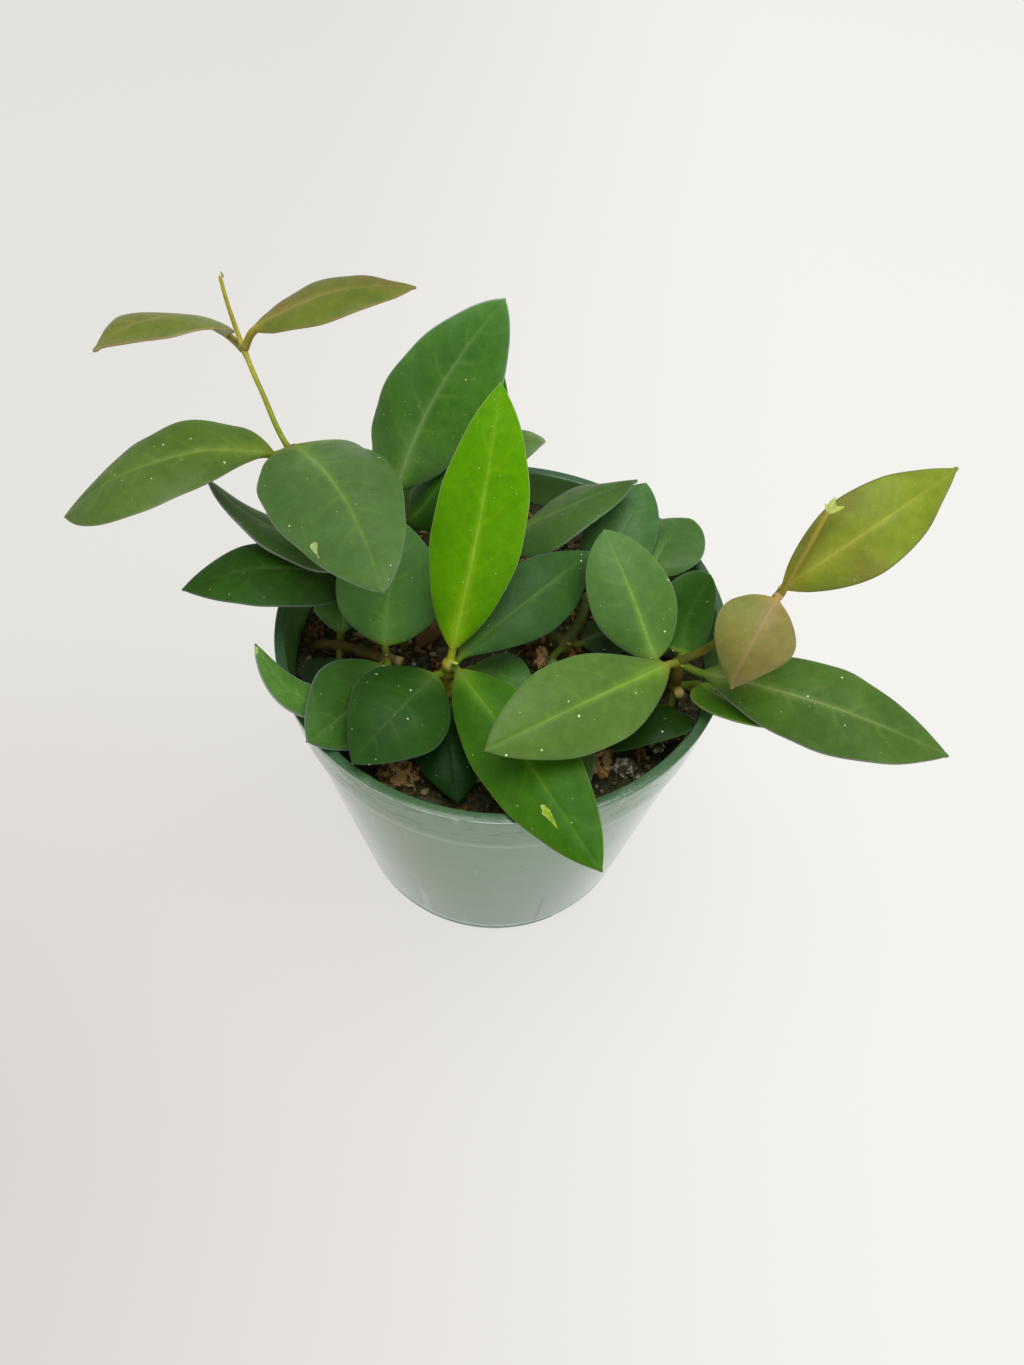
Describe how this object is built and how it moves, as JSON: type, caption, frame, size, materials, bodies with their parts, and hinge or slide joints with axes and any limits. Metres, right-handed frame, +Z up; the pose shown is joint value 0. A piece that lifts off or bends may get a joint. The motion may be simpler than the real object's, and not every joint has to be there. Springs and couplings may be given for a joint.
{
  "type": "potted hoya plant",
  "caption": "Small-leaved hoya with thick waxy leaves on short stems and two climbing vines, standing in a tapered green plastic nursery pot of bark mix.",
  "frame": {"origin": "middle of the pot's flat base, on the surface that it stands on", "axes": "+Z up along the pot's axis; -Y towards the usual viewer; +X to the viewer's right"},
  "size_m": [0.187, 0.1163, 0.1494],
  "materials": {
    "pot_plastic": "satin",
    "potting_mix": "matte",
    "chip_bark": "matte",
    "chip_perlite": "matte",
    "stem": "satin",
    "leaf_dark": "satin",
    "leaf_deep": "satin",
    "leaf_mid": "satin",
    "leaf_grey": "satin",
    "leaf_pale": "satin",
    "leaf_bright": "satin",
    "leaf_olive": "satin",
    "leaf_bronze": "satin",
    "leaf_flushed": "satin"
  },
  "bodies": {
    "root": {"pot": "pot_plastic", "potting_mix": "potting_mix", "bark_left": "chip_bark", "bark_left_small": "chip_bark", "dead_leaf": "chip_bark", "bark_middle": "chip_bark", "bark_middle_dark": "chip_bark", "bark_fibrous": "chip_bark", "bark_right": "chip_bark", "perlite_front": "chip_perlite", "perlite_side": "chip_perlite", "perlite_right": "chip_perlite", "bark_edge": "chip_bark", "stem_left_vine": "stem", "stem_left": "stem", "stem_left_rear": "stem", "stem_front": "stem", "stem_back": "stem", "stem_rear": "stem", "stem_middle": "stem", "stem_right": "stem", "leaf_left_vine_1": "leaf_flushed", "leaf_left_vine_2": "leaf_flushed", "leaf_left_vine_3": "leaf_mid", "leaf_left_vine_4": "leaf_grey", "leaf_left_1": "leaf_deep", "leaf_left_2": "leaf_dark", "leaf_left_3": "leaf_mid", "leaf_left_4": "leaf_dark", "leaf_left_5": "leaf_dark", "leaf_left_6": "leaf_dark", "leaf_left_7": "leaf_deep", "leaf_front_1": "leaf_bright", "leaf_front_2": "leaf_dark", "leaf_front_3": "leaf_mid", "leaf_front_4": "leaf_dark", "leaf_front_5": "leaf_deep", "leaf_front_6": "leaf_grey", "leaf_back_1": "leaf_dark", "leaf_back_2": "leaf_deep", "leaf_rear_1": "leaf_mid", "leaf_rear_2": "leaf_deep", "leaf_middle_1": "leaf_mid", "leaf_middle_2": "leaf_mid", "leaf_middle_3": "leaf_grey", "leaf_middle_4": "leaf_deep", "leaf_middle_5": "leaf_deep", "leaf_right_1": "leaf_pale", "leaf_right_2": "leaf_dark", "leaf_right_3": "leaf_grey", "leaf_right_4": "leaf_dark", "leaf_right_5": "leaf_dark", "leaf_right_6": "leaf_deep", "leaf_right_vine_1": "leaf_bronze", "leaf_right_vine_2": "leaf_olive"}
  },
  "joints": []
}
